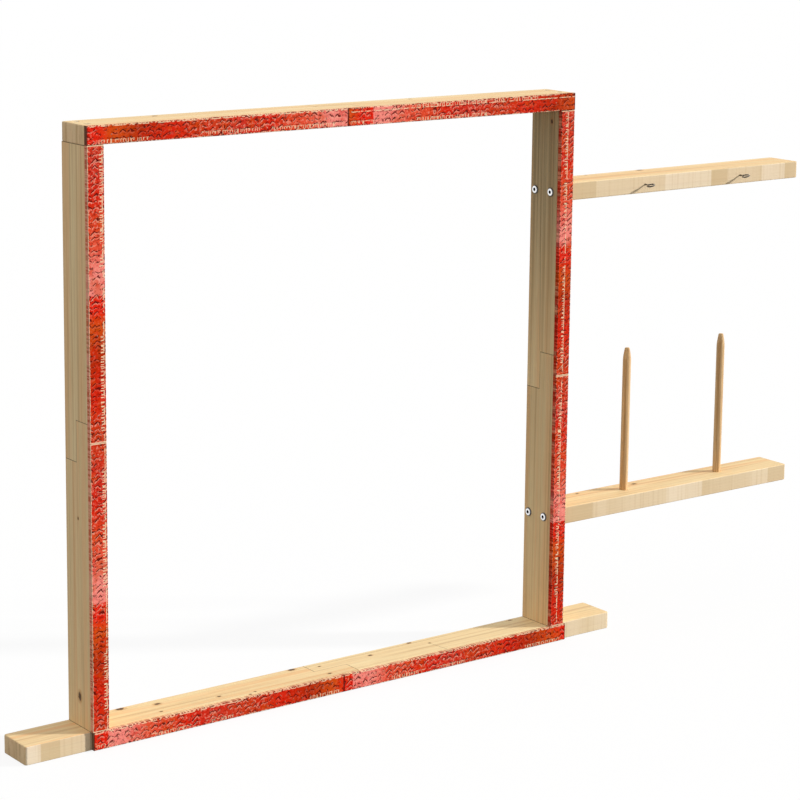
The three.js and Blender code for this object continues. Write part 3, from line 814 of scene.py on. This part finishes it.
def dowel_finish():
    shader = Surface("dowel_wood")
    x, y, z = shader.axes("Object")
    streak = shader.noise(shader.vector(x * 420, y * 420, z * 5), detail=3, roughness=0.6)
    fibre = shader.noise(shader.vector(x * 1500, y * 1500, z * 40))
    colour = shader.mix(shader.smooth(streak, 0.38, 0.66), DOWEL_PALE, DOWEL_BROWN)
    colour = shader.mix(shader.smooth(fibre, 0.5, 0.7) * 0.35, colour, DOWEL_FIBRE)
    return shader.finish(colour, 0.5 + fibre * 0.15, fibre, 0.08 * MM, specular=0.25)


class Metal(Surface):
    """Plated steel: fine turning marks, and dull patches where it has been handled."""

    def __init__(self, name, bright, dull, roughness, scale):
        super().__init__(name)
        self.x, self.y, self.z = self.axes("Object")
        patch = self.noise(
            self.vector(self.x * scale, self.y * scale, self.z * scale), detail=3, roughness=0.6)
        self.scratch = self.noise(self.vector(self.x * 2600, self.y * 900, self.z * 2600))
        self.colour = self.mix(self.smooth(patch, 0.4, 0.68), bright, dull)
        self.roughness = roughness + patch * 0.16 + self.scratch * 0.06

    def plated(self, metallic=1):
        return self.finish(
            self.colour, self.roughness, self.scratch, 0.02 * MM, metallic=metallic)


def bolt_finish():
    """Bright zinc on the crown of the head, with painted shade: black inside the socket and dark
    round the rim.
    """
    metal = Metal("bolt_zinc", linear(252, 252, 252), linear(228, 230, 234), 0.16, 260)
    reach = 1.0
    for height in ARM_HEIGHTS.values():
        for row in BOLT_ROWS.values():
            middle = place(INNER_FACE, row, height)
            reach = metal.smaller(reach, metal.length(metal.y - middle.y, metal.z - middle.z))
    out = (metal.x - place(INNER_FACE, 0, 0).x) * -1
    socket = metal.smooth(reach, *SOCKET_WALL) * metal.smooth(out, *SOCKET_MOUTH)
    dark = metal.larger(socket, metal.smooth(reach, *HEAD_RIM) * 0.9)
    metal.colour = metal.mix(dark, metal.colour, BOLT_SHADE)
    return metal.plated(1 - dark * 0.8)


def eye_finish():
    """Bent wire: plain zinc on top, and nearly black underneath with painted shade."""
    metal = Metal("eye_wire_zinc", linear(210, 200, 184), linear(120, 104, 84), 0.3, 500)
    # Painted shade: the wire is drawn nearly black where it faces down
    underside_shade = metal.smooth(metal.axes("Normal")[2], 0.95, 0.55)
    metal.colour = metal.mix(underside_shade * 0.97, metal.colour, WIRE_UNDERSIDE_SHADE)
    return metal.plated(1 - underside_shade * 0.7)


DOWEL = dowel_finish()
BOLT_ZINC = bolt_finish()
SCREW_ZINC = Metal("screw_zinc", linear(228, 226, 216), linear(182, 178, 160), 0.26, 260).plated()
NUT_ZINC = Metal("nut_zinc", linear(222, 224, 228), linear(170, 172, 178), 0.3, 260).plated()
NAIL_STEEL = Metal("nail_steel", linear(150, 112, 96), linear(96, 62, 52), 0.5, 300).plated()
EYE_WIRE_ZINC = eye_finish()


# Meshes from rings of points

HEX = 6
MERGE_DISTANCE = 1e-7

# The least radius or height that a mesh is given, in millimetres
SLIVER = 0.02


def ring_points(radius, height, sides, corners=0):
    """A circle round Z, or a polygon of the same number of points. radius is to the corners."""
    points = []
    for i in range(sides):
        angle = 2 * math.pi * i / sides
        reach = radius
        if corners:
            half = math.pi / corners
            reach = radius * math.cos(half) / math.cos(angle % (2 * half) - half)
        points.append(Vector((reach * math.cos(angle), reach * math.sin(angle), height)))
    return points


def skin(rings):
    """Vertices and faces of a tube through the rings, closed at both ends."""
    sides = len(rings[0])
    vertices = [point for ring in rings for point in ring]
    faces = []
    for start in range(0, sides * (len(rings) - 1), sides):
        for i in range(sides):
            j = (i + 1) % sides
            faces.append((start + i, start + j, start + sides + j, start + sides + i))
    faces.append(tuple(range(sides))[::-1])
    faces.append(tuple(range(len(vertices) - sides, len(vertices))))
    return vertices, faces


def turned(profile, sides):
    """A turned piece, from (radius, height) or (radius, height, corners) in millimetres, from the
    top down."""
    return skin([
        ring_points(radius * MM, height * MM, sides, *corners)
        for radius, height, *corners in profile])


def joined(*parts):
    vertices, faces = [], []
    for part_vertices, part_faces in parts:
        start = len(vertices)
        vertices += part_vertices
        faces += [tuple(start + i for i in face) for face in part_faces]
    return vertices, faces


def moved(shape, matrix):
    vertices, faces = shape
    return [matrix @ vertex for vertex in vertices], faces


def aimed(at, outward):
    """Takes a piece that stands along +Z from its own origin to where it goes."""
    return Matrix.Translation(at) @ UP.rotation_difference(outward).to_matrix().to_4x4()


def make(name, shape, material, body, replaced=None, sharp=32):
    """A new piece that rides a body. sharp is the angle, in degrees, from which edges stay hard."""
    vertices, faces = shape
    mesh = bpy.data.meshes.new(name)
    mesh.from_pydata(vertices, [], faces)
    shell = bmesh.new()
    shell.from_mesh(mesh)
    bmesh.ops.remove_doubles(shell, verts=shell.verts, dist=MERGE_DISTANCE)
    bmesh.ops.recalc_face_normals(shell, faces=shell.faces)
    shell.to_mesh(mesh)
    shell.free()
    mesh.shade_smooth()
    mesh.set_sharp_from_angle(angle=math.radians(sharp))
    mesh.materials.append(material)
    piece = in_scene(name, mesh)
    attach(piece, body)
    if replaced:
        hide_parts(replaced)


# Cone pegs

# How far out from the frame the pegs and the eyes stand, in millimetres
STATIONS = {"inner": 164, "outer": 383}

# In millimetres, with heights from the lower arm's top face
CONE_ARM_TOP = CONE_ARM_HEIGHT + BOARD_THICKNESS / 2
SOCKET_DEPTH = 20
PEG_TOP = 247.5
PEG_RADIUS = 7
PEG_TIP_RADIUS = 4.25
PEG_TAPER = 24
PEG_TIP_ROUND = 1.6
PEG_TIP_STEPS = 6
PEG_TAPER_STEPS = 16
PEG_SHAFT_STEPS = 8
PEG_SHAFT_FOOT = 4
PEG_CHAMFER = 1
PEG_SIDES = 64


def peg_shape():
    """A dowel with a long taper to a rounded tip and a chamfered foot, from its socket's floor."""
    profile = []
    shoulder = PEG_TOP - PEG_TIP_ROUND
    for step in range(PEG_TIP_STEPS + 1):
        angle = math.pi / 2 * step / PEG_TIP_STEPS
        radius = PEG_TIP_RADIUS - PEG_TIP_ROUND + PEG_TIP_ROUND * math.sin(angle)
        profile.append((radius, shoulder + PEG_TIP_ROUND * math.cos(angle)))
    for step in range(1, PEG_TAPER_STEPS + 1):
        share = step / PEG_TAPER_STEPS
        radius = PEG_TIP_RADIUS + (PEG_RADIUS - PEG_TIP_RADIUS) * math.sin(share * math.pi / 2)
        profile.append((radius, shoulder - (PEG_TAPER - PEG_TIP_ROUND) * share))
    full_width = shoulder - PEG_TAPER + PEG_TIP_ROUND
    shaft = PEG_TOP - PEG_TAPER - PEG_SHAFT_FOOT
    for step in range(1, PEG_SHAFT_STEPS + 1):
        profile.append((PEG_RADIUS, full_width - shaft * step / PEG_SHAFT_STEPS))
    profile += [(PEG_RADIUS, PEG_CHAMFER - SOCKET_DEPTH), (PEG_RADIUS - PEG_CHAMFER, -SOCKET_DEPTH)]
    return turned(profile, PEG_SIDES)


for station, reach in STATIONS.items():
    foot = place(FRAME_WIDTH + reach, HALF_DEPTH, CONE_ARM_TOP)
    make("turned_peg_" + station, moved(peg_shape(), aimed(foot, UP)), DOWEL, station + "_peg",
         replaced="cone_peg_" + station)


# Screw eyes

# In millimetres, outwards from the upper arm's front face: radii of the wire, the ring and the
# threaded shank, and places along the shank
EYE_TILT = math.radians(15)
EYE_WIRE = 1.2
EYE_RING = 5.8
EYE_REACH = 21
EYE_THREAD_RADIUS = 1.4
EYE_THREAD = 17
EYE_POINT_RADIUS_SHARE = 0.12
EYE_POINT_LENGTH = 4.5
EYE_THREAD_STATIONS = (-EYE_THREAD, -16, -15, -14, -13, -8, -1)
EYE_NECK_STATIONS = (0, 2, 4, 6)
EYE_NECK_BEND = 0.8
EYE_RING_START = -math.pi / 2 + 0.14
EYE_RING_SWEEP = math.radians(322)
EYE_RING_STEPS = 52
EYE_END_STEPS = 4
EYE_WIRE_SIDES = 20
EYE_SHARP = 50


def eye_path():
    """The wire's middle line in the local XZ plane, from the point to the rounded end of the open
    ring, as (x, z, radius)."""
    centre = EYE_REACH - EYE_RING - EYE_WIRE
    neck_end = centre - EYE_RING - EYE_NECK_BEND
    path = []
    for height in EYE_THREAD_STATIONS:
        grown = EYE_POINT_RADIUS_SHARE + (height + EYE_THREAD) / EYE_POINT_LENGTH
        path.append((0, height, EYE_THREAD_RADIUS * min(1, grown)))
    path += [(0, height, EYE_WIRE) for height in (*EYE_NECK_STATIONS, neck_end)]
    for step in range(EYE_RING_STEPS + 1):
        angle = EYE_RING_START + step / EYE_RING_STEPS * EYE_RING_SWEEP
        path.append((EYE_RING * math.cos(angle), centre + EYE_RING * math.sin(angle), EYE_WIRE))
    ahead = Vector((-math.sin(angle), math.cos(angle)))
    last = Vector(path[-1][:2])
    for step in range(1, EYE_END_STEPS + 1):
        swell = math.pi / 2 * step / EYE_END_STEPS
        tip = last + ahead * math.sin(swell)
        path.append((tip.x, tip.y, max(EYE_WIRE * math.cos(swell), SLIVER)))
    return path


def swept(path):
    """A round wire along a path of (x, z, radius) in the XZ plane."""
    points = [Vector((x, 0, z)) for x, z, _ in path]
    rings = []
    for i, (_, _, radius) in enumerate(path):
        ahead = (points[min(i + 1, len(points) - 1)] - points[max(i - 1, 0)]).normalized()
        third = ahead.cross(BACK)
        ring = []
        for k in range(EYE_WIRE_SIDES):
            angle = 2 * math.pi * k / EYE_WIRE_SIDES
            offset = BACK * math.cos(angle) + third * math.sin(angle)
            ring.append((points[i] + offset * radius) * MM)
        rings.append(ring)
    return skin(rings)


# A thread's ridge: steps to the turn, its root's depth under the shank's surface, its half width
# as a share of the pitch, and how fast it grows and fades at its ends
THREAD_STEPS = 20
THREAD_ROOT = 0.25
THREAD_HALF_WIDTH = 0.3
THREAD_RUN_OUT = 8


def helix(radius, low, high, pitch, depth):
    """The ridge of a wood screw's thread round Z, a little triangle wound along the shank."""
    steps = int((high - low) / pitch * THREAD_STEPS)
    half_width = pitch * THREAD_HALF_WIDTH
    rings = []
    for step in range(steps + 1):
        share = step / steps
        angle = share * (high - low) / pitch * 2 * math.pi
        height = low + share * (high - low)
        grown = depth * min(1, share * THREAD_RUN_OUT, (1 - share) * THREAD_RUN_OUT) + SLIVER
        out = Vector((math.cos(angle), math.sin(angle), 0))
        rings.append([
            (out * (radius - THREAD_ROOT) + UP * (height - half_width)) * MM,
            (out * (radius + grown) + UP * height) * MM,
            (out * (radius - THREAD_ROOT) + UP * (height + half_width)) * MM,
        ])
    return skin(rings)


def eye_shape():
    thread = helix(EYE_THREAD_RADIUS - 0.15, low=-EYE_THREAD + 3, high=-0.8, pitch=1.4, depth=0.3)
    return joined(swept(eye_path()), thread)


for station, reach in STATIONS.items():
    root = place(FRAME_WIDTH + reach, 0, GUIDE_ARM_HEIGHT)
    screwed_in = aimed(root, FRONT) @ Matrix.Rotation(EYE_TILT, 4, "Z")
    make("bent_eye_" + station, moved(eye_shape(), screwed_in), EYE_WIRE_ZINC, station + "_eye",
         replaced="yarn_eye_" + station, sharp=EYE_SHARP)


# Arm bolts, with a domed head and a hex socket, and their barrel nuts. The profiles here and
# below run from the floor of the socket, or the crown of the head, to the tip.

HEAD_SIDES = 48


def bolt_shape():
    return turned([
        (SLIVER, 0.5), (2.88, 0.5, HEX), (2.9, 2.15, HEX), (3.15, 2.4, HEX),
        (4.4, 2.45), (5.6, 2.2), (6.5, 1.75), (7.05, 1.15), (7.25, 0.55), (7.15, 0.12), (6.9, 0),
        (3, 0), (3, -79.2), (2.2, -80),
    ], HEAD_SIDES)


for arm, height in ARM_HEIGHTS.items():
    for row, y in BOLT_ROWS.items():
        bolt = moved(bolt_shape(), aimed(place(INNER_FACE, y, height), LEFT))
        make(f"socket_bolt_{arm}_{row}", bolt, BOLT_ZINC, "frame",
             replaced=f"arm_bolt_{arm}_{row}")
        paint(f"barrel_nut_{arm}_{row}", NUT_ZINC)


# Countersunk screws

CORNER_SCREW_ROWS = {"front": 17, "back": 49}
CORNER_SCREW_LENGTH = 68
RAIL_LAP_SCREWS = {"left": 436, "right": 468}
UPRIGHT_LAP_SCREWS = {"lower": 443, "upper": 475}
LAP_SCREW_LENGTH = 50

UPRIGHT_MIDDLES = {"left": BOARD_THICKNESS / 2, "right": FRAME_WIDTH - BOARD_THICKNESS / 2}
RAIL_MIDDLES = {"base": BOARD_THICKNESS / 2, "top": FRAME_HEIGHT - BOARD_THICKNESS / 2}


def screw_shape(length):
    return turned([
        (SLIVER, -2.9), (2.25, -3, HEX), (2.3, -0.55, HEX), (2.5, -0.4, HEX),
        (4.7, -0.4), (4.95, -0.55), (5, -0.9), (3.5, -3.4),
        (3.3, -6), (3.3, 6 - length), (1.6, 2 - length), (0.1, -length),
    ], HEAD_SIDES)


def screw(name, at, outward, length):
    thread = helix(3.25, low=5 - length, high=-length * 0.4, pitch=3, depth=0.22)
    shape = moved(joined(screw_shape(length), thread), aimed(at, outward))
    make("turned_" + name, shape, SCREW_ZINC, "frame", replaced=name)


for side, x in UPRIGHT_MIDDLES.items():
    for row, y in CORNER_SCREW_ROWS.items():
        top, base = place(x, y, FRAME_HEIGHT), place(x, y, 0)
        screw(f"corner_screw_top_{side}_{row}", top, UP, CORNER_SCREW_LENGTH)
        screw(f"corner_screw_base_{side}_{row}", base, DOWN, CORNER_SCREW_LENGTH)
for rail, z in RAIL_MIDDLES.items():
    for end, x in RAIL_LAP_SCREWS.items():
        screw(f"lap_screw_{rail}_{end}", place(x, BOARD_DEPTH, z), BACK, LAP_SCREW_LENGTH)
for side, x in UPRIGHT_MIDDLES.items():
    for end, z in UPRIGHT_LAP_SCREWS.items():
        screw(f"lap_screw_{side}_{end}", place(x, BOARD_DEPTH, z), BACK, LAP_SCREW_LENGTH)


# Nails that hold the strips to the timber, driven flush between the rows of pins

NAIL_MARGIN = 40 * MM
NAILS_PER_STRIP = 4
NAIL_SIDES = 20


def nail_shape():
    return turned([
        (SLIVER, 0.2), (0.7, 0.18), (0.95, 0.1), (1.05, 0), (0.8, -0.8), (0.75, -18), (0.05, -20),
    ], NAIL_SIDES)


for node, settings in STRIPS.items():
    low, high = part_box(node)
    axis = settings["axis"]
    nails = []
    for i in range(NAILS_PER_STRIP):
        share = i / (NAILS_PER_STRIP - 1)
        at = Vector(((low.x + high.x) / 2, CORNER.y + STRIP_FRONT, (low.z + high.z) / 2))
        at[axis] = low[axis] + NAIL_MARGIN + (high[axis] - low[axis] - 2 * NAIL_MARGIN) * share
        nails.append(moved(nail_shape(), aimed(at, FRONT)))
    make(node.replace("gripper_strip", "strip_nails"), joined(*nails), NAIL_STEEL, "frame")


# Floor, light and camera

FLOOR_REACH = 12
FLOOR_DROP = 0.0004
FLOOR_GLOW = 0.88
FLOOR_BOUNCE = (0.3, 0.3, 0.3, 1)
SKY_LEVEL = 0.34
SKY_OVERHEAD = 0.42
SUN_STRENGTH = 3.4
SUN_WIDTH = math.radians(5)
SUN_COLOUR = (1, 0.985, 0.96)
SUN_FALLS = Vector((-1.6, 1, -0.7))


def make_floor():
    """A white floor that keeps a faint shadow, and throws only a little light back."""
    low, high, level = -FLOOR_REACH, FLOOR_REACH, -FLOOR_DROP
    corners = [(low, low, level), (high, low, level), (high, high, level), (low, high, level)]
    mesh = bpy.data.meshes.new("floor")
    mesh.from_pydata(corners, [], [(0, 1, 2, 3)])
    shader = Shader(bpy.data.materials.new("floor"))
    lit = shader.node("BsdfDiffuse", {"Color": WHITE})
    glow = shader.node("Emission", {"Color": WHITE})
    thrown = shader.node("BsdfDiffuse", {"Color": FLOOR_BOUNCE})
    shown = shader.node("MixShader", {0: FLOOR_GLOW, 1: lit, 2: glow})
    surface = shader.node("MixShader", {0: shader.seen(), 1: thrown, 2: shown})
    mesh.materials.append(shader.show(surface))
    floor = in_scene("floor", mesh)


def make_sky():
    """White all round where it is seen; its light comes mostly from overhead."""
    world = bpy.data.worlds.new("studio")
    bpy.context.scene.world = world
    shader = Shader(world)
    upward = shader.axes("Generated")[2]
    light = shader.node(
        "MapRange", {"Value": upward, "To Min": SKY_LEVEL, "To Max": SKY_LEVEL + SKY_OVERHEAD})
    strength = shader.node("Mix", dict(zip(MIX_NUMBER_INPUTS, (shader.seen(), light, 1))))
    background = shader.node("Background", {"Color": WHITE, "Strength": strength})
    shader.show(background, "ShaderNodeOutputWorld")


def make_sun():
    lamp = bpy.data.lights.new("key", "SUN")
    lamp.energy = SUN_STRENGTH
    lamp.angle = SUN_WIDTH
    lamp.color = SUN_COLOUR
    sun = in_scene("key", lamp)
    sun.rotation_mode = "QUATERNION"
    sun.rotation_quaternion = SUN_FALLS.to_track_quat("-Z", "Y")


# The camera that was fitted to the photograph: its place in millimetres from the corner, its
# angles in radians and its lens
CAMERA_PLACE = place(-1729.83, -3045.46, 1324.06)
CAMERA_YAW = 0.6439
CAMERA_PITCH = -0.1762
CAMERA_ROLL = 0.0113
SENSOR_WIDTH = 36
FOCAL_LENGTH = 112.196
LENS_SHIFT = -0.15
VIEW_DISTANCE = 50


def make_camera():
    """The photograph's own view, from the left front and a little above."""
    level = Vector((math.cos(CAMERA_YAW), -math.sin(CAMERA_YAW), 0))
    northward = Vector((math.sin(CAMERA_YAW), math.cos(CAMERA_YAW), 0))
    ahead = northward * math.cos(CAMERA_PITCH) + UP * math.sin(CAMERA_PITCH)
    upward = level.cross(ahead)
    right = level * math.cos(CAMERA_ROLL) + upward * math.sin(CAMERA_ROLL)
    above = upward * math.cos(CAMERA_ROLL) - level * math.sin(CAMERA_ROLL)
    lens = bpy.data.cameras.new("camera")
    lens.sensor_width = SENSOR_WIDTH
    lens.lens = FOCAL_LENGTH
    lens.shift_y = LENS_SHIFT
    lens.clip_end = VIEW_DISTANCE
    camera = in_scene("camera", lens)
    turn = Matrix((right, above, -ahead)).transposed().to_4x4()
    camera.matrix_world = Matrix.Translation(CAMERA_PLACE) @ turn
    bpy.context.scene.camera = camera


make_floor()
make_sky()
make_sun()
make_camera()
bpy.context.scene.view_settings.view_transform = "Standard"
